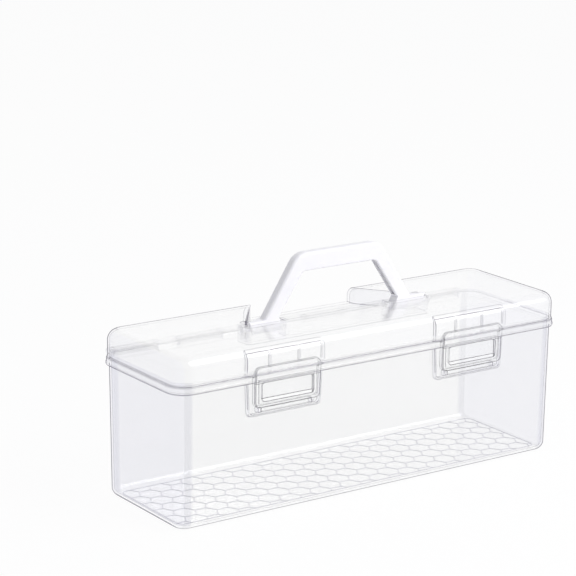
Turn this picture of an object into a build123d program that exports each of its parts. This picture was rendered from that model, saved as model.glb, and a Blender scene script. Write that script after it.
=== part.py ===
from build123d import *
import math
import os

# A clear carry box with a hinged lid, a folding handle and two snap levers, in millimetres.
# X runs along the box, the front is at -Y, and the origin is on the table under the middle of the tub.

# Driving dimensions of the tub
rim_length = 375.0
rim_depth = 116.0
rim_corner = 16.0
rim_underside_z = 108.2
rim_bead_height = 3.0
rim_bead_bevel = 0.9
rim_face_height = 2.8
rim_face_step = 0.5
rim_overhang = 2.7
tub_wall = 1.8
tub_draft = 1.3
tub_bottom_round = 7.0
floor_thickness = 2.2
lip_height = 3.0
lip_bevel = 0.3

# Driving dimensions of the lid
lid_height = 22.1
lid_wall = 1.5
lid_setback = 1.4
lid_round = 9.0
lid_foot_flare = 0.5
lid_foot_height = 1.2

# Driving dimensions of the handle recess in the lid
recess_depth = 13.6
recess_half_width = 88.0
recess_shoulder_half_width = 80.0
recess_rear_half_width = 51.5
recess_corner = 2.5
shoulder_room = 1.0
boss_end_wall = 1.0

# Driving dimensions of the handle
pivot_y = 1.0
pivot_below_top = 4.6
handle_reach = 56.2
handle_depth = 9.0
grip_height = 15.0
grip_half_width = 40.4
grip_bend = 16.0
grip_inner_half_width = 35.5
grip_inner_bend = 5.0
leg_outer_half_width = 72.0
leg_inner_half_width = 58.5
foot_inner_half_width = 53.0
foot_outer_half_width = 82.0
toe_half_width = 86.5
toe_tip_depth = 2.0
toe_above_pivot = 6.7
handle_wall = 2.0
channel_depth = 6.0
channel_rib_count = 5
channel_rib_width = 1.2
handle_outer_round = 2.4
handle_inner_round = 1.4
handle_pin_radius = 2.0
handle_pin_length = 3.2
ear_width = 3.0

# Driving dimensions of the hinge
hinge_beyond_rim = 4.2
hinge_below_rim_top = 1.5
hinge_pin_radius = 2.0
clip_wall = 1.4
clip_length = 40.5
clip_count = 6
clip_pitch = 61.0
clip_mouth = 2.8
clip_arm_height = 2.6
lug_wall = 2.0
lug_stop_reach = 5.5
lug_stop_height = 3.6
end_lug_length = 2.4

# Driving dimensions of the two latches
latch_half_spacing = 90.2
lever_width = 61.0
lever_bottom_z = 89.3
lever_height = 32.5
lever_wall = 1.8
lever_depth = 3.8
lever_bulge = 1.0
lever_brow_height = 12.8
lever_corner = 5.0
lever_edge_bevel = 0.7
lever_tip = 1.2
window_width = 47.5
window_height = 14.8
window_corner = 2.5
window_recess = 2.0
window_ramp = 2.1
lever_pivot_below = 2.5
lever_pivot_inset = 0.4
barrel_width = 47.0
barrel_radius = 2.0
trunnion_radius = 1.1
trunnion_length = 1.8
catch_width = 71.8
catch_wall = 1.6
catch_reach = 3.1
catch_crown = 7.0
catch_corner = 2.0
catch_rib_half_spacing = 13.5
ledge_rise = 2.3
ledge_radius = 0.5
guard_width = 70.6
guard_narrowing = 1.5
guard_reach = 2.4
guard_wall = 1.8
guard_corner = 4.0
guard_bevel = 0.4

# Clearances between pieces
parting_gap = 0.3
lip_clearance = 0.3
side_clearance = 0.4
pin_clearance = 0.05
handle_clearance = 0.7
lever_to_rim = 0.6
lever_to_catch = 0.8
barrel_to_guard = 1.2
cut_past = 1.0
pin_root = 3.0
pin_end_gap = 0.4

# Heights and half sizes that follow
rim_half_length = rim_length / 2
rim_half_depth = rim_depth / 2
rim_top_z = rim_underside_z + rim_bead_height + rim_face_height
lid_foot_z = rim_top_z + parting_gap
lid_top_z = lid_foot_z + lid_height
lid_half_length = rim_half_length - lid_setback
lid_half_depth = rim_half_depth - lid_setback
lid_corner = rim_corner - lid_setback
recess_floor_z = lid_top_z - recess_depth
pivot_z = lid_top_z - pivot_below_top
hinge_y = rim_half_depth + hinge_beyond_rim
hinge_z = rim_top_z - hinge_below_rim_top
clip_radius = hinge_pin_radius + pin_clearance + clip_wall
lever_back_y = -(rim_half_depth + lever_to_rim)
lever_front_y = lever_back_y - lever_depth
lever_top_z = lever_bottom_z + lever_height
lever_pivot_y = lever_back_y + lever_pivot_inset
lever_pivot_z = lever_bottom_z - lever_pivot_below
catch_front_y = -(lid_half_depth + catch_reach)


def rounded_layer(half_length, half_depth, corner, z):
    """A level rounded rectangle, as a face at the given height."""
    return Pos(0, 0, z) * RectangleRounded(2 * half_length, 2 * half_depth, corner)


def slab(half_length, half_depth, corner, z_low, z_high):
    """A rounded block with upright sides."""
    return extrude(rounded_layer(half_length, half_depth, corner, z_low), z_high - z_low)


def tapered_slab(half_length, half_depth, corner, z_start, z_end, narrowing):
    """A rounded block that narrows evenly on every side from its layer at z_start to z_end."""
    height = abs(z_end - z_start)
    taper = math.degrees(math.atan2(narrowing, height))
    way = (0, 0, 1 if z_end > z_start else -1)
    return extrude(rounded_layer(half_length, half_depth, corner, z_start), height, dir=way, taper=taper)


def lowest_edges(solid):
    return solid.edges().group_by(Axis.Z)[0]


def highest_edges(solid):
    return solid.edges().group_by(Axis.Z)[-1]


def bar(radius, x_low, x_high, y, z):
    """A round bar along X."""
    middle = Pos((x_low + x_high) / 2, y, z)
    return middle * Rot(0, 90, 0) * Cylinder(radius, x_high - x_low)


def box_between(low, high):
    """A plain block between its lowest and highest corners."""
    size = [h - l for l, h in zip(low, high)]
    centre = [(l + h) / 2 for l, h in zip(low, high)]
    return Pos(*centre) * Box(*size)


def side_profile(outline, x_low, x_high):
    """An outline drawn in (y, z), drawn out along X."""
    return extrude(Plane.YZ.offset(x_low) * outline, x_high - x_low)


def front_profile(outline, y_low, y_high):
    """An outline drawn in (x, z), drawn out along Y."""
    return extrude(Plane.XZ.offset(-y_high) * outline, y_high - y_low)


def both_sides(solid):
    """A solid together with its mirror image on the other end of the box."""
    return [solid, solid.mirror(Plane.YZ)]


def joined(first, others):
    """One solid fused from a first one and a list of others."""
    result = first
    for other in others:
        result = result + other
    return result


# The tub

def tub_walls(inset, z_low):
    """The tub's drafted block under the rim, set in by a wall thickness, with its bottom edge rounded."""
    narrowing = tub_draft * (rim_underside_z - z_low) / rim_underside_z
    walls = tapered_slab(*rim_sizes(rim_overhang + inset), rim_underside_z, z_low, narrowing)
    return fillet(lowest_edges(walls), tub_bottom_round - inset)


def rim_sizes(inset):
    """Half length, half depth and corner of the rim, set in all round."""
    return rim_half_length - inset, rim_half_depth - inset, rim_corner - inset


def tub_outside():
    bead = slab(*rim_sizes(0), rim_underside_z, rim_underside_z + rim_bead_height)
    bead = chamfer(lowest_edges(bead) + highest_edges(bead), rim_bead_bevel)
    face = slab(*rim_sizes(rim_face_step), rim_underside_z, rim_top_z)
    face = chamfer(highest_edges(face), rim_face_step)
    return joined(tub_walls(0, 0), [bead, face, tub_lip()])


def tub_lip():
    """The upstand that the lid drops over."""
    lip = slab(*rim_sizes(lid_setback + lid_wall + lip_clearance), rim_underside_z, rim_top_z + lip_height)
    return chamfer(highest_edges(lip), lip_bevel)


def tub_inside():
    mouth = slab(*rim_sizes(rim_overhang + tub_wall), rim_underside_z, rim_top_z + 2 * lip_height)
    return tub_walls(tub_wall, floor_thickness) + mouth


def clip_centres():
    """Middles of the lid's hinge clips along the rear edge."""
    return [clip_pitch * (step - (clip_count - 1) / 2) for step in range(clip_count)]


def lug_spans():
    """Start and end of the hinge lug in each gap between two clips."""
    half_gap = (clip_pitch - clip_length) / 2 - side_clearance
    middles = [centre + clip_pitch / 2 for centre in clip_centres()[:-1]]
    return [(middle - half_gap, middle + half_gap) for middle in middles]


def lug_web():
    """A lug's side view: a round boss on a web from the rim."""
    boss_radius = hinge_pin_radius + lug_wall
    boss = Pos(hinge_y, hinge_z) * Circle(boss_radius)
    web_low_z = hinge_z - boss_radius
    web_start_y = rim_half_depth - rim_overhang
    web = Pos(web_start_y, web_low_z) * Rectangle(hinge_y - web_start_y, rim_top_z - web_low_z,
                                                  align=(Align.MIN, Align.MIN))
    return boss + web


def hinge_lugs():
    """The rod with its lugs: those between clips have a nib behind that stops the lid, the end ones none."""
    end_start = clip_centres()[-1] + clip_length / 2 + side_clearance
    rod = bar(hinge_pin_radius, -end_start - end_lug_length, end_start + end_lug_length, hinge_y, hinge_z)
    nib = Pos(hinge_y, hinge_z) * Rectangle(lug_stop_reach, lug_stop_height, align=(Align.MIN, Align.MIN))
    lugs = [side_profile(lug_web() + nib, start, end) for start, end in lug_spans()]
    return joined(rod, lugs + both_sides(side_profile(lug_web(), end_start, end_start + end_lug_length)))


def guard_outline(inset):
    """Front view of a guard, a little narrower at its rounded foot, set in by its wall."""
    low_z = lever_pivot_z - barrel_radius - barrel_to_guard - guard_wall + inset
    high_z = rim_underside_z + rim_bead_height / 2
    half_high = guard_width / 2 - inset
    half_low = half_high - guard_narrowing
    outline = make_face(Polyline((-half_low, low_z), (half_low, low_z), (half_high, high_z),
                                 (-half_high, high_z), close=True))
    return fillet(outline.vertices().group_by(Axis.Y)[0], guard_corner - inset / 2)


def latch_guard():
    """The U-shaped rib round a lever, that hangs from the rim."""
    wall_y = -(rim_half_depth - rim_overhang - tub_draft)
    front_y = -(rim_half_depth - rim_overhang) - guard_reach
    rib = front_profile(guard_outline(0) - guard_outline(guard_wall), front_y, wall_y + tub_wall / 2)
    return chamfer(rib.edges().group_by(Axis.Y)[0], guard_bevel)


def latch_ears():
    """The two small ears that the lever's stub pins turn in."""
    ear_radius = barrel_radius + pin_clearance
    wall_y = -(rim_half_depth - rim_overhang - tub_draft) + tub_wall / 2
    disc = Pos(lever_pivot_y, lever_pivot_z) * Circle(ear_radius)
    root = Pos(lever_pivot_y, lever_pivot_z - ear_radius) * Rectangle(
        wall_y - lever_pivot_y, 2 * ear_radius, align=(Align.MIN, Align.MIN))
    hole = Pos(lever_pivot_y, lever_pivot_z) * Circle(trunnion_radius + pin_clearance)
    start = barrel_width / 2 + side_clearance
    return both_sides(side_profile(disc + root - hole, start, start + trunnion_length))


def build_tub():
    tub = joined(tub_outside(), [hinge_lugs()])
    for side in (-1, 1):
        middle = Pos(side * latch_half_spacing, 0, 0)
        tub = joined(tub, [middle * latch_guard()] + [middle * ear for ear in latch_ears()])
    return tub - tub_inside()


# The lid

def recess_outline(margin):
    """Plan of the handle recess: wide pockets at the pivots, then sides that draw in to the rear."""
    front_y = pivot_y - handle_depth / 2 - handle_clearance - margin
    shoulder_y = pivot_y + toe_above_pivot + handle_clearance + shoulder_room
    tangent_y = lid_half_depth - lid_round
    rear_y = rim_half_depth + 2 * margin + 2
    half = [(0, front_y), (recess_half_width + margin, front_y),
            (recess_half_width + margin, shoulder_y + margin),
            (recess_shoulder_half_width + margin, shoulder_y + margin),
            (recess_rear_half_width + margin, tangent_y), (recess_rear_half_width + margin, rear_y),
            (0, rear_y)]
    right = make_face(Polyline(*half, close=True))
    return right + right.mirror(Plane.YZ)


def recess_block(margin, floor_z, top_z):
    outline = recess_outline(margin)
    block = extrude(Pos(0, 0, floor_z) * outline, top_z - floor_z)
    upright = block.edges().filter_by(Axis.Z)
    inside_length = upright.filter_by(lambda edge: edge.center().Y < lid_half_depth)
    return fillet(inside_length, recess_corner + margin / 2)


def lid_outside():
    body = slab(lid_half_length, lid_half_depth, lid_corner, lid_foot_z, lid_top_z)
    body = fillet(highest_edges(body), lid_round)
    flare = tapered_slab(*rim_sizes(lid_setback - lid_foot_flare), lid_foot_z,
                         lid_foot_z + lid_foot_height, lid_foot_flare)
    return body + flare


def lid_inside():
    roof_z = lid_top_z - lid_wall
    cavity = slab(lid_half_length - lid_wall, lid_half_depth - lid_wall, lid_corner - lid_wall,
                  lid_foot_z, roof_z)
    return fillet(highest_edges(cavity), lid_round - lid_wall)


def catch_profile(inset):
    """Side view of a catch housing: upright in front, crowned over to meet the lid's rounded edge."""
    front_y = catch_front_y + inset
    crown = catch_crown - inset
    crown_z = lid_top_z - lid_round
    rear_y = -(lid_half_depth - lid_round)
    low_z = lid_foot_z + parting_gap - inset
    with_crown = [Line((rear_y, low_z), (front_y, low_z)), Line((front_y, low_z), (front_y, crown_z)),
                  TangentArc((front_y, crown_z), (front_y + crown, crown_z + crown), tangent=(0, 1)),
                  Line((front_y + crown, crown_z + crown), (rear_y, crown_z + crown)),
                  Line((rear_y, crown_z + crown), (rear_y, low_z))]
    return make_face(Wire(with_crown))


def catch_front(inset):
    """Front view of a catch housing, with its rounded upper corners."""
    top_z = lid_top_z - lid_round + catch_crown - inset
    return Pos(0, top_z) * RectangleRounded(catch_width - 2 * inset, 2 * lid_height, catch_corner - inset,
                                            align=(Align.CENTER, Align.MAX))


def catch_block(inset):
    """The housing's rounded block, set in by its wall."""
    half = catch_width / 2
    crowned = side_profile(catch_profile(inset), -half, half)
    return crowned & front_profile(catch_front(inset), catch_front_y, lid_round - lid_half_depth)


def catch_housing():
    """A hollow housing on the lid's front edge: skin, two ribs and the ledge the lever snaps over."""
    skin = catch_block(0)
    hollow = catch_block(catch_wall)
    rib = side_profile(catch_profile(0), -catch_wall / 2, catch_wall / 2)
    ribs = [Pos(side * catch_rib_half_spacing, 0, 0) * rib for side in (-1, 1)]
    ledge_z = lid_foot_z + ledge_rise
    ledge = bar(ledge_radius, -lever_width / 2, lever_width / 2, catch_front_y, ledge_z)
    return joined(skin - hollow, ribs + [ledge])


def handle_sockets():
    """Ears inside the recess and bosses outside its walls, which the handle's stub pins turn in."""
    ear_gap = side_clearance
    ear_outer = foot_inner_half_width - ear_gap
    ear_half_depth = handle_depth / 2
    ear_low = (ear_outer - ear_width, pivot_y - ear_half_depth - handle_clearance - lid_wall / 2,
               recess_floor_z - lid_wall / 2)
    ear_high = (ear_outer, pivot_y + ear_half_depth, pivot_z + ear_half_depth - handle_clearance)
    boss_end = recess_half_width + handle_pin_length + boss_end_wall
    boss = bar(2 * handle_pin_radius, recess_half_width + lid_wall / 2, boss_end, pivot_y, pivot_z)
    return both_sides(box_between(ear_low, ear_high)), both_sides(boss)


def handle_pin_holes():
    ear_start = foot_inner_half_width - side_clearance - ear_width
    wall_end = recess_half_width + handle_pin_length
    radius = handle_pin_radius + pin_clearance
    inner = bar(radius, ear_start - cut_past, foot_inner_half_width, pivot_y, pivot_z)
    outer = bar(radius, recess_half_width - cut_past, wall_end, pivot_y, pivot_z)
    return both_sides(inner) + both_sides(outer)


def hinge_clip():
    """One C-shaped clip on the rear edge, with its arm from the lid's wall and its mouth below."""
    half = clip_length / 2
    ring = Circle(clip_radius)
    arm_z = lid_foot_z - hinge_z
    arm_start_y = lid_half_depth - lid_wall / 2 - hinge_y
    arm = Pos(arm_start_y, arm_z) * Rectangle(-arm_start_y, clip_arm_height, align=(Align.MIN, Align.MIN))
    bore = Circle(hinge_pin_radius + pin_clearance)
    mouth = Rot(0, 0, -45) * Rectangle(2 * clip_radius, clip_mouth, align=(Align.MIN, Align.CENTER))
    return side_profile(Pos(hinge_y, hinge_z) * (ring + arm - bore - mouth), -half, half)


def build_lid():
    ears, bosses = handle_sockets()
    inside = lid_inside() - recess_block(lid_wall, recess_floor_z - lid_wall, lid_top_z + cut_past)
    body = lid_outside()
    for side in (-1, 1):
        body = body + Pos(side * latch_half_spacing, 0, 0) * catch_housing()
    lid = body - inside - recess_block(0, recess_floor_z, lid_top_z + cut_past)
    clips = [Pos(centre, 0, 0) * hinge_clip() for centre in clip_centres()]
    lid = joined(lid, ears + bosses + clips)
    for hole in handle_pin_holes():
        lid = lid - hole
    return lid


# The handle

def handle_hole():
    """The opening between the legs, as an outline in (x, z) above the pivot."""
    grip_low = handle_reach - grip_height
    foot_drop = handle_depth / 2
    corners = [(-foot_inner_half_width, -foot_drop - cut_past),
               (foot_inner_half_width, -foot_drop - cut_past),
               (foot_inner_half_width, -foot_drop), (leg_inner_half_width, toe_above_pivot),
               (grip_inner_half_width, grip_low), (-grip_inner_half_width, grip_low),
               (-leg_inner_half_width, toe_above_pivot), (-foot_inner_half_width, -foot_drop)]
    hole = make_face(Polyline(*corners, close=True))
    upper = [vertex for vertex in hole.vertices() if vertex.Y > toe_above_pivot + cut_past]
    return fillet(upper, grip_inner_bend)


def handle_outline():
    """The handle seen from the front: two splayed legs with toes, bent into a level grip."""
    foot_drop = handle_depth / 2
    corners = [(-foot_outer_half_width, -foot_drop), (foot_outer_half_width, -foot_drop),
               (toe_half_width, toe_above_pivot), (leg_outer_half_width, toe_above_pivot),
               (grip_half_width, handle_reach), (-grip_half_width, handle_reach),
               (-leg_outer_half_width, toe_above_pivot), (-toe_half_width, toe_above_pivot)]
    outline = make_face(Polyline(*corners, close=True))
    bends = [vertex for vertex in outline.vertices() if vertex.Y > toe_above_pivot + cut_past]
    return fillet(bends, grip_bend)


def rims_above_toes(frame, inside):
    """Front and rear edges of the legs and grip, round the opening or round the outside."""
    near_hole = offset(handle_hole(), handle_wall / 2).face()

    def wanted(edge):
        middle = edge @ 0.5
        at_face = abs(abs(middle.Y) - handle_depth / 2) < pin_clearance
        above = middle.Z > toe_above_pivot + handle_wall / 2
        return at_face and above and near_hole.is_inside((middle.X, middle.Z)) == inside

    return frame.edges().filter_by(wanted)


def channel_cut():
    """The hollow that runs round the inner side of the legs and grip, crossed by thin ribs."""
    half_depth = handle_depth / 2 - handle_wall
    hollow = offset(handle_hole(), channel_depth, kind=Kind.INTERSECTION)
    low = toe_above_pivot + handle_wall
    limit = Pos(0, low) * Rectangle(2 * leg_outer_half_width, handle_reach - handle_wall - low,
                                    align=(Align.CENTER, Align.MIN))
    cut = front_profile(hollow & limit, -half_depth, half_depth)
    rib_pitch = 2 * grip_inner_half_width / (channel_rib_count + 1)
    rib_low = handle_reach - grip_height - cut_past
    for step in range(channel_rib_count):
        x = rib_pitch * (step + 1) - grip_inner_half_width
        cut = cut - box_between((x - channel_rib_width / 2, -half_depth, rib_low),
                                (x + channel_rib_width / 2, half_depth, handle_reach))
    return cut


def toe_backs():
    """Slanted cuts behind the toes, which thin towards their outer ends seen from above."""
    half_depth = handle_depth / 2
    tip_y = toe_tip_depth - half_depth
    past_x, past_y = toe_half_width + cut_past, half_depth + cut_past
    behind = make_face(Polyline((leg_outer_half_width, half_depth), (toe_half_width, tip_y), (past_x, tip_y),
                                (past_x, past_y), (leg_outer_half_width, past_y), close=True))
    foot_height = toe_above_pivot + half_depth
    return both_sides(extrude(Pos(0, 0, -half_depth - cut_past) * behind, foot_height + 2 * cut_past))


def build_handle():
    half_depth = handle_depth / 2
    frame = front_profile(handle_outline() - handle_hole(), -half_depth, half_depth)
    frame = fillet(rims_above_toes(frame, inside=True), handle_inner_round)
    frame = fillet(rims_above_toes(frame, inside=False), handle_outer_round)
    heel_block = box_between((-toe_half_width, -half_depth, -half_depth - cut_past),
                             (toe_half_width, half_depth, 0))
    heel_round = bar(half_depth, -toe_half_width, toe_half_width, 0, 0)
    frame = frame - (heel_block - heel_round) - channel_cut()
    for cut in toe_backs():
        frame = frame - cut
    inner_end = foot_inner_half_width - side_clearance - ear_width
    outer_end = recess_half_width + handle_pin_length - pin_end_gap
    inner_pin = bar(handle_pin_radius, inner_end, foot_inner_half_width + pin_root, 0, 0)
    outer_pin = bar(handle_pin_radius, foot_outer_half_width - pin_root, outer_end, 0, 0)
    handle = joined(frame, both_sides(inner_pin) + both_sides(outer_pin))
    return Pos(0, pivot_y, pivot_z) * handle


# The levers

def lever_side(inset):
    """Side view of the lever: flat lower down, with a crowned brow above the window."""
    front_y = lever_front_y + inset
    low_z = lever_bottom_z + inset
    brow_z = lever_top_z - lever_brow_height
    brow_mid_z = brow_z + lever_brow_height / 2
    high_z = lever_top_z - inset
    step_z = rim_top_z
    high_back_y = catch_front_y - lever_to_catch
    edges = [Line((lever_back_y, low_z), (front_y, low_z)), Line((front_y, low_z), (front_y, brow_z)),
             ThreePointArc((front_y, brow_z), (front_y - lever_bulge, brow_mid_z),
                           (high_back_y - lever_tip, high_z)),
             Line((high_back_y - lever_tip, high_z), (high_back_y, high_z)),
             Line((high_back_y, high_z), (high_back_y, step_z)),
             Line((high_back_y, step_z), (lever_back_y, step_z)),
             Line((lever_back_y, step_z), (lever_back_y, low_z))]
    return make_face(Wire(edges))


def front_rim(shell):
    """The edges all round the lever's front, where its flat and its crowned face meet the sides."""
    flat = shell.faces().filter_by(Axis.Y).sort_by(Axis.Y)[0]
    crown = shell.faces().filter_by(GeomType.CYLINDER).sort_by(SortBy.AREA)[-1]
    fold_length = lever_width - lever_corner
    return [edge for edge in flat.edges() + crown.edges() if edge.length < fold_length]


def build_lever():
    half = lever_width / 2
    middle_z = (lever_bottom_z + lever_top_z) / 2
    front_y = lever_front_y - 2 * lever_bulge
    outline = Pos(0, middle_z) * RectangleRounded(lever_width, lever_height, lever_corner)
    inner_outline = Pos(0, middle_z) * RectangleRounded(
        lever_width - 2 * lever_wall, lever_height - 2 * lever_wall, lever_corner - lever_wall)
    shell = side_profile(lever_side(0), -half, half) & front_profile(outline, front_y, lever_back_y)
    shell = chamfer(front_rim(shell), lever_edge_bevel)
    hollow = (side_profile(lever_side(lever_wall), -half, half)
              & front_profile(inner_outline, front_y, lever_back_y))
    window_middle_z = lever_top_z - lever_brow_height - window_height / 2
    panel_back_y = lever_front_y + window_recess + lever_wall / 2
    tray = box_between((-window_width / 2 - lever_wall, lever_front_y, window_middle_z - window_height / 2
                        - lever_wall),
                       (window_width / 2 + lever_wall, panel_back_y,
                        window_middle_z + window_height / 2 + lever_wall))
    window_outline = Pos(0, window_middle_z) * RectangleRounded(window_width, window_height, window_corner)
    window = front_profile(window_outline, lever_front_y - cut_past, lever_front_y + window_recess)
    ramp_low = window_middle_z - window_height / 2
    ramp = make_face(Polyline((lever_front_y, ramp_low - cut_past), (lever_front_y, ramp_low),
                              (lever_front_y + window_recess, ramp_low + window_ramp),
                              (lever_front_y + window_recess, ramp_low - cut_past), close=True))
    window = window - side_profile(ramp, -window_width / 2, window_width / 2)
    barrel_half = barrel_width / 2
    barrel = bar(barrel_radius, -barrel_half, barrel_half, lever_pivot_y, lever_pivot_z)
    tab = box_between((-barrel_half, lever_pivot_y - barrel_radius, lever_pivot_z),
                      (barrel_half, lever_pivot_y, lever_bottom_z + lever_wall / 2))
    pin_half = barrel_half + side_clearance + trunnion_length
    pin = bar(trunnion_radius, -pin_half, pin_half, lever_pivot_y, lever_pivot_z)
    return joined(shell - hollow, [tray]) - window + barrel + tab + pin


def main():
    os.makedirs("parts", exist_ok=True)
    lever = build_lever()
    nodes = {"tub": build_tub(), "lid": build_lid(), "handle": build_handle(),
             "left_latch": Pos(-latch_half_spacing, 0, 0) * lever,
             "right_latch": Pos(latch_half_spacing, 0, 0) * lever}
    for name, solid in nodes.items():
        export_step(solid, f"parts/{name}.step")


main()
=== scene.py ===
import math
import bpy
from mathutils import Matrix, Vector


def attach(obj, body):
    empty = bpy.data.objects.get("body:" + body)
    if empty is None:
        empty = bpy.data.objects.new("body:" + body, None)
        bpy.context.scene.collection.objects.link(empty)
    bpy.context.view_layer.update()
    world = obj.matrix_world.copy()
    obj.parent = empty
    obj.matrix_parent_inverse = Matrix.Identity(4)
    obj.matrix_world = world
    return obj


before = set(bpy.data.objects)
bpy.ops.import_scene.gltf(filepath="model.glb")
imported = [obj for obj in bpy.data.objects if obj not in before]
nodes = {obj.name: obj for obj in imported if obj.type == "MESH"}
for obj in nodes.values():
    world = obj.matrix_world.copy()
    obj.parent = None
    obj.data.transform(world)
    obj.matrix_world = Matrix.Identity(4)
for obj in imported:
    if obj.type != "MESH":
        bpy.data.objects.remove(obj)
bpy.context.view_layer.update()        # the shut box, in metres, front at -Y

print("frame loaded:", ", ".join(sorted(nodes)))


# small helpers

def linear(hexColour):
    # an sRGB hex colour as the linear RGBA that the shader sockets take
    channels = [int(hexColour[i:i + 2], 16) / 255 for i in (1, 3, 5)]
    curve = [c / 12.92 if c <= 0.04045 else ((c + 0.055) / 1.055) ** 2.4 for c in channels]
    return curve + [1.0]


def mm(length):
    return length / 1000


def addNode(tree, kind, settings=None, links=None):
    # one shader node: settings are sockets or properties by name, links are sockets by name or number
    node = tree.nodes.new(kind)
    for name, value in (settings or {}).items():
        if isinstance(name, int) or name in node.inputs.keys():
            node.inputs[name].default_value = value
        else:
            setattr(node, name, value)
    for name, source in (links or {}).items():
        tree.links.new(source, node.inputs[name])
    return node


def newMaterial(name):
    material = bpy.data.materials.new(name)
    material.use_nodes = True
    material.node_tree.nodes.clear()
    return material, material.node_tree


def deselectAll():
    if bpy.context.object and bpy.context.object.mode != "OBJECT":
        bpy.ops.object.mode_set(mode="OBJECT")
    bpy.ops.object.select_all(action="DESELECT")


def dress(piece, material):
    piece.data.materials.clear()
    piece.data.materials.append(material)


# clear moulded plastic

clearLook = {
    "wall": "#FDFDFD",        # what one surface of a long wall lets through, seen square on
    "corner": "#F6F6F8",      # painted shade: a darker band on the half of each upright corner next to a long wall
    "end": "#FBFBFD",         # the same in an end wall
    # which of these three it is, by how far the surface faces left or right
    "wallStops": ((0.04, "wall"), (0.14, "corner"), (0.48, "corner"), (0.54, "end")),
    "level": "#FFFFFF",       # painted light: the floor and top let all light through, lifting the floor against the shade under the box
    "levelFade": (0.975, 0.998),    # how squarely up or down a surface faces as it becomes level
    "paintedLineShade": "#6A6478",        # painted shade: the lavender grey laid along edges and outlines, where refraction would draw dark lines
    "edgeWidth": 0.45,        # mm either side of a sharp edge
    "edgeSamples": 6,
    "edgeGain": 60.0,         # how fast the line fills in towards the edge
    "edgeShare": 0.9,         # how much of the painted shade colour it takes
    "throughShare": 0.12,     # how much of that shows from inside the plastic
    "turnStart": 0.66,        # how far a surface turns away before its painted outline shade starts
    "turnFull": 0.86,         # and where the outline is full
    "turnShare": 0.8,         # how much of the painted shade colour it takes
    "hollowShare": 0.25,      # how much of that the inner side of a wall draws
    "middle": 70.0,           # mm, a height inside the hollow, to tell its inner side
    "flatFade": (0.98, 0.998),      # how squarely a surface faces along X, Y or Z as it becomes a flat wall
    "quiet": ((110.3, 112.4), (115.4, 118.0)),    # mm, heights of steps where no painted edge shade is drawn
    "rampZ": (105.0, 125.0),  # mm, the heights that the quiet ones lie between
    "rod": (-58.2, 86.8),     # mm, y and z of a thin rod round which no painted edge shade is drawn: the levers' pins in their ears
    "rodReach": 1.7,          # mm from its axis
    "rodFade": 0.3,           # mm over which the lines come back
    "haze": 0.04,             # milky share
    "roughness": 0.06,
    "straightMirror": 0.04,   # what styrene reflects seen square on
    "mirrorPower": 5.0,       # how late that grows to a full mirror as a surface turns away
    "rippleSize": 30.0,       # mm between the soft hollows that cooling leaves in a flat wall
    "rippleDepth": 1.0,       # mm
    "ripple": 0.05,           # how strongly they tilt the reflections
}


def drawingSpots(tree, look, place):
    # 1 where the painted edge shade is drawn, 0 at the quiet heights and round the rod
    split = addNode(tree, "ShaderNodeSeparateXYZ", {}, {0: place.outputs["Object"]})
    low, high = look["rampZ"]
    height = addNode(tree, "ShaderNodeMapRange", {"From Min": mm(low), "From Max": mm(high)},
                     {"Value": split.outputs[2]})
    ramp = addNode(tree, "ShaderNodeValToRGB", {}, {0: height.outputs["Result"]})
    ramp.color_ramp.interpolation = "CONSTANT"
    for stop in ramp.color_ramp.elements:
        stop.color = linear("#FFFFFF")
    for start, end in look["quiet"]:
        ramp.color_ramp.elements.new((start - low) / (high - low)).color = linear("#000000")
        ramp.color_ramp.elements.new((end - low) / (high - low)).color = linear("#FFFFFF")
    axis = addNode(tree, "ShaderNodeCombineXYZ", {"Y": mm(look["rod"][0]), "Z": mm(look["rod"][1])},
                   {"X": split.outputs[0]})
    fromAxis = addNode(tree, "ShaderNodeVectorMath", {"operation": "DISTANCE"},
                       {0: place.outputs["Object"], 1: axis.outputs[0]})
    reach = look["rodReach"]
    clearOfRod = addNode(tree, "ShaderNodeMapRange",
                         {"From Min": mm(reach), "From Max": mm(reach + look["rodFade"])},
                         {"Value": fromAxis.outputs["Value"]})
    return addNode(tree, "ShaderNodeMath", {"operation": "MULTIPLY"},
                   {0: ramp.outputs["Color"], 1: clearOfRod.outputs["Result"]})


def paintEdgeShade(tree, look, place, face):
    # painted shade along every sharp edge, weaker where it is seen from inside the plastic
    worn = addNode(tree, "ShaderNodeBevel",
                   {"samples": look["edgeSamples"], "Radius": mm(look["edgeWidth"])})
    alike = addNode(tree, "ShaderNodeVectorMath", {"operation": "DOT_PRODUCT"},
                    {0: face.outputs["Normal"], 1: worn.outputs["Normal"]})
    turned = addNode(tree, "ShaderNodeMath", {"operation": "SUBTRACT", 0: 1.0}, {1: alike.outputs["Value"]})
    edge = addNode(tree, "ShaderNodeMath",
                   {"operation": "MULTIPLY", "use_clamp": True, 1: look["edgeGain"]},
                   {0: turned.outputs[0]})
    through = addNode(tree, "ShaderNodeMapRange",
                      {"To Min": look["edgeShare"], "To Max": look["edgeShare"] * look["throughShare"]},
                      {"Value": face.outputs["Backfacing"]})
    shown = addNode(tree, "ShaderNodeMath", {"operation": "MULTIPLY"},
                    {0: edge.outputs[0], 1: through.outputs["Result"]})
    spots = drawingSpots(tree, look, place)
    return addNode(tree, "ShaderNodeMath", {"operation": "MULTIPLY"},
                   {0: shown.outputs[0], 1: spots.outputs[0]})


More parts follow.
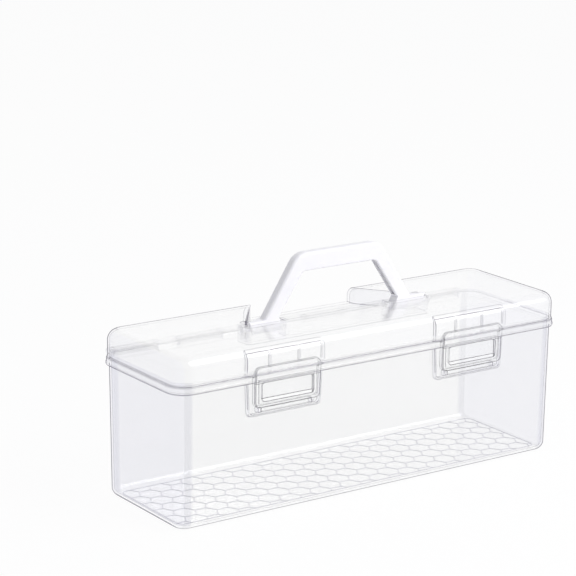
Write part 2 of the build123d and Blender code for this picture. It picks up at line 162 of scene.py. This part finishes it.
def paintOutlineShade(tree, look, place, face, slant, way):
    # painted shade where a rounded corner turns away from the eye, weaker on the inner side of the hollow,
    # and none on the flat of a wall
    outline = addNode(tree, "ShaderNodeMapRange",
                      {"interpolation_type": "SMOOTHSTEP", "From Min": look["turnStart"],
                       "From Max": look["turnFull"], "To Max": look["turnShare"]},
                      {"Value": slant.outputs["Facing"]})
    middle = (0, 0, mm(look["middle"]))
    outward = addNode(tree, "ShaderNodeVectorMath", {"operation": "SUBTRACT", 1: middle},
                      {0: place.outputs["Object"]})
    along = addNode(tree, "ShaderNodeVectorMath", {"operation": "DOT_PRODUCT"},
                    {0: outward.outputs[0], 1: place.outputs["Normal"]})
    flip = addNode(tree, "ShaderNodeMapRange", {"To Min": 1.0, "To Max": -1.0},
                   {"Value": face.outputs["Backfacing"]})
    trueAlong = addNode(tree, "ShaderNodeMath", {"operation": "MULTIPLY"},
                        {0: along.outputs["Value"], 1: flip.outputs["Result"]})
    outer = addNode(tree, "ShaderNodeMath", {"operation": "GREATER_THAN", 1: 0.0},
                    {0: trueAlong.outputs[0]})
    side = addNode(tree, "ShaderNodeMapRange", {"To Min": look["hollowShare"]}, {"Value": outer.outputs[0]})
    across = addNode(tree, "ShaderNodeMath", {"operation": "MAXIMUM"},
                     {0: way.outputs[0], 1: way.outputs[1]})
    square = addNode(tree, "ShaderNodeMath", {"operation": "MAXIMUM"},
                     {0: across.outputs[0], 1: way.outputs[2]})
    bent, flat = look["flatFade"]
    curved = addNode(tree, "ShaderNodeMapRange",
                     {"From Min": bent, "From Max": flat, "To Min": 1.0, "To Max": 0.0},
                     {"Value": square.outputs[0]})
    paintedShade = addNode(tree, "ShaderNodeMath", {"operation": "MULTIPLY"},
                    {0: outline.outputs["Result"], 1: side.outputs["Result"]})
    return addNode(tree, "ShaderNodeMath", {"operation": "MULTIPLY"},
                   {0: paintedShade.outputs[0], 1: curved.outputs["Result"]})


def wallColour(tree, look, way):
    # by how far the surface faces sideways: long wall, the half of the corner with painted shade, end wall
    slanted, level = look["levelFade"]
    upright = addNode(tree, "ShaderNodeMapRange",
                      {"From Min": slanted, "From Max": level, "To Min": 1.0, "To Max": 0.0},
                      {"Value": way.outputs[2]})
    ramp = addNode(tree, "ShaderNodeValToRGB", {}, {0: way.outputs[0]})
    while len(ramp.color_ramp.elements) < len(look["wallStops"]):
        ramp.color_ramp.elements.new(0.5)
    for stop, (position, part) in zip(ramp.color_ramp.elements, look["wallStops"]):
        stop.position = position
        stop.color = linear(look[part])
    wall = addNode(tree, "ShaderNodeMix", {"data_type": "RGBA"},
                   {0: upright.outputs["Result"], 7: ramp.outputs["Color"]})
    # painted light: level surfaces take the clear white of the level colour
    wall.inputs[6].default_value = linear(look["level"])
    return wall


def clearPlastic(name, look):
    # injection moulded clear styrene in thin walls: what is behind shows straight through, sharp
    # reflections lie on top, and every edge and outline gets a painted lavender grey shade in place of
    # refraction's lines
    material, tree = newMaterial(name)
    place = addNode(tree, "ShaderNodeTexCoord")
    face = addNode(tree, "ShaderNodeNewGeometry")
    slant = addNode(tree, "ShaderNodeLayerWeight", {"Blend": 0.5})    # Facing is 0 square on, 1 edge on
    hollows = addNode(tree, "ShaderNodeTexNoise", {"Scale": 1 / mm(look["rippleSize"]), "Detail": 1.0},
                      {"Vector": place.outputs["Object"]})
    ripple = addNode(tree, "ShaderNodeBump",
                     {"Strength": look["ripple"], "Distance": mm(look["rippleDepth"])},
                     {"Height": hollows.outputs["Fac"]})
    facing = addNode(tree, "ShaderNodeVectorMath", {"operation": "ABSOLUTE"}, {0: place.outputs["Normal"]})
    way = addNode(tree, "ShaderNodeSeparateXYZ", {}, {0: facing.outputs[0]})
    edges = paintEdgeShade(tree, look, place, face)
    sides = paintOutlineShade(tree, look, place, face, slant, way)
    paintedShade = addNode(tree, "ShaderNodeMath", {"operation": "MAXIMUM"},
                    {0: edges.outputs[0], 1: sides.outputs[0]})
    wall = wallColour(tree, look, way)
    # painted shade: the line colour laid over the wall tint wherever edges and outlines are drawn
    tintAndPaintedShade = addNode(tree, "ShaderNodeMix", {"data_type": "RGBA"}, {0: paintedShade.outputs[0], 6: wall.outputs[2]})
    tintAndPaintedShade.inputs[7].default_value = linear(look["paintedLineShade"])
    through = addNode(tree, "ShaderNodeBsdfTransparent", {}, {"Color": tintAndPaintedShade.outputs[2]})
    milk = addNode(tree, "ShaderNodeBsdfDiffuse", {}, {"Color": tintAndPaintedShade.outputs[2]})
    body = addNode(tree, "ShaderNodeMixShader", {0: look["haze"]},
                   {1: through.outputs[0], 2: milk.outputs[0]})
    shine = addNode(tree, "ShaderNodeBsdfGlossy", {"Roughness": look["roughness"]},
                    {"Color": tintAndPaintedShade.outputs[2], "Normal": ripple.outputs["Normal"]})
    steep = addNode(tree, "ShaderNodeMath", {"operation": "POWER", 1: look["mirrorPower"]},
                    {0: slant.outputs["Facing"]})
    straight = look["straightMirror"]
    mirror = addNode(tree, "ShaderNodeMath", {"operation": "MULTIPLY_ADD", 1: 1 - straight, 2: straight},
                     {0: steep.outputs[0]})
    surface = addNode(tree, "ShaderNodeMixShader", {},
                      {0: mirror.outputs[0], 1: body.outputs[0], 2: shine.outputs[0]})
    addNode(tree, "ShaderNodeOutputMaterial", {}, {"Surface": surface.outputs[0]})
    return material


# the lid is thinner and a little milkier, and its rod is the ledges that the levers snap over
lidLook = dict(clearLook, wall="#FFFFFF", corner="#FEFEFE", end="#FEFEFF", edgeWidth=0.6, edgeShare=1.0,
               middle=108.0, quiet=((117.0, 118.8),), rod=(-59.7, 116.6), rodReach=1.5, haze=0.06,
               roughness=0.12)

# the levers are small and full of edges, which get the darkest painted edge shade of the box
leverLook = dict(clearLook, wall="#FFFFFF", corner="#FEFEFE", end="#FEFEFF", paintedLineShade="#332F3C",
                 edgeWidth=0.75, edgeGain=150.0, edgeShare=1.0, throughShare=0.08, turnStart=0.88,
                 turnFull=0.99, hollowShare=1.0, quiet=(), haze=0.08, roughness=0.25, straightMirror=0.02)

dress(nodes["tub"], clearPlastic("clearStyreneTub", clearLook))
dress(nodes["lid"], clearPlastic("clearStyreneLid", lidLook))
leverPlastic = clearPlastic("clearStyreneLever", leverLook)
dress(nodes["left_latch"], leverPlastic)
dress(nodes["right_latch"], leverPlastic)
bpy.context.scene.cycles.transparent_max_bounces = 64      # walls behind walls behind walls
print("clear pieces dressed")


# milky handle

handleLook = {
    "colour": "#F5F4F7",
    "shade": "#F0EFF3",       # the cooler tone in the clouds
    "cloudSize": 14.0,        # mm, clouds of pigment in the milky plastic
    "grainSize": 0.6,         # mm, the fine satin grain of the mould
    "grainDepth": 0.05,       # mm
    "grain": 0.06,            # how strongly it tilts the reflections
    "roughness": 0.34,
    "ior": 1.49,
    "milk": 0.15,             # share of the light that goes in and comes out again
    "milkDepth": 2.0,         # mm it travels inside
    "milkSpread": (0.9, 0.9, 1.0),
}


def milkyPlastic(name, look):
    # injection moulded milky polypropylene: satin, a little light goes in and comes out again
    material, tree = newMaterial(name)
    place = addNode(tree, "ShaderNodeTexCoord")
    clouds = addNode(tree, "ShaderNodeTexNoise", {"Scale": 1 / mm(look["cloudSize"]), "Detail": 3.0},
                     {"Vector": place.outputs["Object"]})
    tone = addNode(tree, "ShaderNodeMix", {"data_type": "RGBA"}, {0: clouds.outputs["Fac"]})
    tone.inputs[6].default_value = linear(look["shade"])
    tone.inputs[7].default_value = linear(look["colour"])
    grain = addNode(tree, "ShaderNodeTexNoise", {"Scale": 1 / mm(look["grainSize"]), "Detail": 2.0},
                    {"Vector": place.outputs["Object"]})
    satin = addNode(tree, "ShaderNodeBump", {"Strength": look["grain"], "Distance": mm(look["grainDepth"])},
                    {"Height": grain.outputs["Fac"]})
    plastic = addNode(tree, "ShaderNodeBsdfPrincipled",
                      {"Roughness": look["roughness"], "IOR": look["ior"],
                       "Subsurface Weight": look["milk"], "Subsurface Scale": mm(look["milkDepth"]),
                       "Subsurface Radius": look["milkSpread"]},
                      {"Base Color": tone.outputs[2], "Normal": satin.outputs["Normal"]})
    addNode(tree, "ShaderNodeOutputMaterial", {}, {"Surface": plastic.outputs[0]})
    return material


dress(nodes["handle"], milkyPlastic("milkyPolypropylene", handleLook))
print("handle dressed")


# honeycomb moulded in the tub's floor

honeycomb = {
    "floorZ": 2.2,            # mm, top of the tub's floor
    "acrossFlats": 16.86,     # mm, the size of a cell and the step to the next one
    "firstCell": (-173.14, 19.58),    # mm, its middle
    "columns": range(0, 26),  # enough of both to reach past the field
    "rows": range(-8, 24),
    "halfLength": 176.5,      # mm, half the field
    "halfDepth": 44.6,
    "corner": 6.0,            # mm, its rounded corners
    "cornerSteps": 6,
    "lineWidth": 0.6,         # mm
    "lineHeight": 0.3,        # mm
}


def cellRing(cells, radius):
    # one hexagon ring, half a line wide, because its neighbour brings the other half
    deselectAll()
    bpy.ops.mesh.primitive_circle_add(vertices=6, radius=mm(radius), fill_type="NGON",
                                      location=(0, 0, 0), rotation=(0, 0, math.radians(30)))
    ring = bpy.context.object
    bpy.ops.object.transform_apply(location=True, rotation=True, scale=True)
    bpy.ops.object.mode_set(mode="EDIT")
    bpy.ops.mesh.select_all(action="SELECT")
    bpy.ops.mesh.inset(thickness=mm(cells["lineWidth"] / 2), depth=0)
    bpy.ops.mesh.delete(type="FACE")
    bpy.ops.object.mode_set(mode="OBJECT")
    return ring


def cellRows(cells):
    # copies of the ring over the whole field and a little past it, joined
    pitch = cells["acrossFlats"]
    radius = pitch / math.sqrt(3)
    firstX, firstY = cells["firstCell"]
    ring = cellRing(cells, radius)
    copies = []
    for column in cells["columns"]:
        for row in cells["rows"]:
            x = firstX + column * pitch * math.cos(math.radians(30))
            y = firstY - column * pitch / 2 + row * pitch
            if abs(x) > cells["halfLength"] + radius or abs(y) > cells["halfDepth"] + radius:
                continue
            copy = ring.copy()
            copy.data = ring.data.copy()
            copy.location = (mm(x), mm(y), 0)
            bpy.context.scene.collection.objects.link(copy)
            copies.append(copy)
    bpy.data.objects.remove(ring)
    deselectAll()
    for copy in copies:
        copy.select_set(True)
    bpy.context.view_layer.objects.active = copies[0]
    bpy.ops.object.join()
    bpy.ops.object.transform_apply(location=True, rotation=True, scale=True)
    return bpy.context.object


def trimToField(cells):
    # cuts the active piece off at the four sides of the field
    bpy.ops.object.mode_set(mode="EDIT")
    for wayX, wayY in ((1, 0), (-1, 0), (0, 1), (0, -1)):
        bpy.ops.mesh.select_all(action="SELECT")
        side = (mm(wayX * cells["halfLength"]), mm(wayY * cells["halfDepth"]), 0)
        bpy.ops.mesh.bisect(plane_co=side, plane_no=(wayX, wayY, 0), clear_outer=True)
    bpy.ops.object.mode_set(mode="OBJECT")


def fieldBorder(cells):
    # the line all round the field
    deselectAll()
    bpy.ops.mesh.primitive_plane_add(size=1, location=(0, 0, 0))
    border = bpy.context.object
    border.scale = (mm(2 * cells["halfLength"]), mm(2 * cells["halfDepth"]), 1)
    bpy.ops.object.transform_apply(location=True, rotation=True, scale=True)
    bpy.ops.object.mode_set(mode="EDIT")
    bpy.ops.mesh.select_all(action="SELECT")
    bpy.ops.mesh.bevel(offset=mm(cells["corner"]), segments=cells["cornerSteps"], affect="VERTICES")
    bpy.ops.mesh.select_all(action="SELECT")
    bpy.ops.mesh.inset(thickness=mm(cells["lineWidth"]), depth=0)
    bpy.ops.mesh.delete(type="FACE")
    bpy.ops.object.mode_set(mode="OBJECT")


def honeycombLines(cells):
    # thin raised lines: hexagon rings side by side, trimmed to a field with a line all round
    lines = cellRows(cells)
    trimToField(cells)
    fieldBorder(cells)         # stays selected, and joins the cells
    lines.select_set(True)
    bpy.context.view_layer.objects.active = lines
    bpy.ops.object.join()
    lines.name = "floorHoneycomb"
    lines.location = (0, 0, mm(cells["floorZ"]))
    bpy.ops.object.transform_apply(location=True, rotation=True, scale=True)
    height = lines.modifiers.new("height", "SOLIDIFY")
    height.thickness = mm(cells["lineHeight"])
    height.offset = 1
    bpy.ops.object.modifier_apply(modifier="height")
    return lines


lineLook = {
    "light": "#D8D7DF",
    "dark": "#C9C7D2",
    "gritSize": 2.5,          # mm, patches where the mould is more or less matt
    "roughness": 0.5,
    "ior": 1.49,
}


def satinLine(name, look):
    # the same styrene where the mould was left matt: the lines scatter a little lavender grey light
    material, tree = newMaterial(name)
    place = addNode(tree, "ShaderNodeTexCoord")
    grit = addNode(tree, "ShaderNodeTexNoise", {"Scale": 1 / mm(look["gritSize"]), "Detail": 2.0},
                   {"Vector": place.outputs["Object"]})
    tone = addNode(tree, "ShaderNodeMix", {"data_type": "RGBA"}, {0: grit.outputs["Fac"]})
    tone.inputs[6].default_value = linear(look["dark"])
    tone.inputs[7].default_value = linear(look["light"])
    plastic = addNode(tree, "ShaderNodeBsdfPrincipled",
                      {"Roughness": look["roughness"], "IOR": look["ior"]},
                      {"Base Color": tone.outputs[2]})
    addNode(tree, "ShaderNodeOutputMaterial", {}, {"Surface": plastic.outputs[0]})
    return material


floorLines = honeycombLines(honeycomb)
dress(floorLines, satinLine("mattStyreneLines", lineLook))
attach(floorLines, "tub")
print("honeycomb floor made")


# camera

view = {
    "azimuth": -34.869,       # degrees, round to the left from straight in front
    "elevation": 14.552,
    "roll": 0.566,
    "aim": (-0.0323, 0.0225, 0.15345),
    "distance": 1.8355,
    "lens": 143.41,           # mm, as the sensor is
    "sensor": 36,
}


def addCamera(view):
    azimuth, elevation, roll = [math.radians(view[k]) for k in ("azimuth", "elevation", "roll")]
    turn = Matrix.Rotation(azimuth, 4, "Z")
    turn = turn @ Matrix.Rotation(math.radians(90) - elevation, 4, "X")
    turn = turn @ Matrix.Rotation(roll, 4, "Z")
    back = Vector((math.sin(azimuth) * math.cos(elevation), -math.cos(azimuth) * math.cos(elevation),
                   math.sin(elevation)))
    lens = bpy.data.cameras.new("camera")
    lens.lens = view["lens"]
    lens.sensor_width = view["sensor"]
    camera = bpy.data.objects.new("camera", lens)
    camera.matrix_world = Matrix.Translation(Vector(view["aim"]) + back * view["distance"]) @ turn
    bpy.context.scene.collection.objects.link(camera)
    bpy.context.scene.camera = camera


addCamera(view)
print("camera placed")


# floor, world and lamp

studio = {
    "floorSize": 12.0,
    "floorDrop": 0.0005,      # keeps the tub's underside and the floor from sharing a plane
    "floorColour": "#FAFAFB",
    "floorWhite": 0.93,       # how far the seen floor is plain white
    "softColour": "#F4F5F8",  # the world's light on the box
    "softStrength": 0.6,
}

keyLamp = {
    "place": (0.8, -1.2, 1.3),
    "target": (0, 0, 0.08),
    "size": (1.4, 1.4),
    "watts": 24,
}


def addFloor(studio):
    deselectAll()
    bpy.ops.mesh.primitive_plane_add(size=studio["floorSize"], location=(0, 0, -studio["floorDrop"]))
    floor = bpy.context.object
    floor.name = "floor"
    material, tree = newMaterial("paleBoard")
    path = addNode(tree, "ShaderNodeLightPath")
    seen = addNode(tree, "ShaderNodeMath", {"operation": "MAXIMUM"},
                   {0: path.outputs["Is Camera Ray"], 1: path.outputs["Is Transmission Ray"]})
    shown = addNode(tree, "ShaderNodeMath", {"operation": "MAXIMUM"},
                    {0: seen.outputs[0], 1: path.outputs["Is Glossy Ray"]})
    share = addNode(tree, "ShaderNodeMath", {"operation": "MULTIPLY", 1: studio["floorWhite"]},
                    {0: shown.outputs[0]})
    board = addNode(tree, "ShaderNodeBsdfDiffuse", {"Color": linear(studio["floorColour"])})
    white = addNode(tree, "ShaderNodeEmission", {"Strength": 1.0})
    surface = addNode(tree, "ShaderNodeMixShader", {},
                      {0: share.outputs[0], 1: board.outputs[0], 2: white.outputs[0]})
    addNode(tree, "ShaderNodeOutputMaterial", {}, {"Surface": surface.outputs[0]})
    dress(floor, material)


def addWorld(studio):
    # white where the camera or a reflection sees it, softer as light
    world = bpy.data.worlds.new("studio")
    bpy.context.scene.world = world
    world.use_nodes = True
    tree = world.node_tree
    tree.nodes.clear()
    path = addNode(tree, "ShaderNodeLightPath")
    seen = addNode(tree, "ShaderNodeMath", {"operation": "MAXIMUM"},
                   {0: path.outputs["Is Camera Ray"], 1: path.outputs["Is Glossy Ray"]})
    soft = addNode(tree, "ShaderNodeBackground",
                   {"Color": linear(studio["softColour"]), "Strength": studio["softStrength"]})
    white = addNode(tree, "ShaderNodeBackground", {"Color": linear("#FFFFFF"), "Strength": 1.0})
    sky = addNode(tree, "ShaderNodeMixShader", {},
                  {0: seen.outputs[0], 1: soft.outputs[0], 2: white.outputs[0]})
    addNode(tree, "ShaderNodeOutputWorld", {}, {"Surface": sky.outputs[0]})


def addSoftbox(name, box):
    lamp = bpy.data.lights.new(name, "AREA")
    lamp.shape = "RECTANGLE"
    lamp.size, lamp.size_y = box["size"]
    lamp.energy = box["watts"]
    softbox = bpy.data.objects.new(name, lamp)
    softbox.location = box["place"]
    aim = Vector(box["target"]) - Vector(box["place"])
    softbox.rotation_euler = aim.to_track_quat("-Z", "Y").to_euler()
    bpy.context.scene.collection.objects.link(softbox)


addFloor(studio)
addWorld(studio)
addSoftbox("keySoftbox", keyLamp)
bpy.context.scene.view_settings.view_transform = "Standard"
print("studio lit")
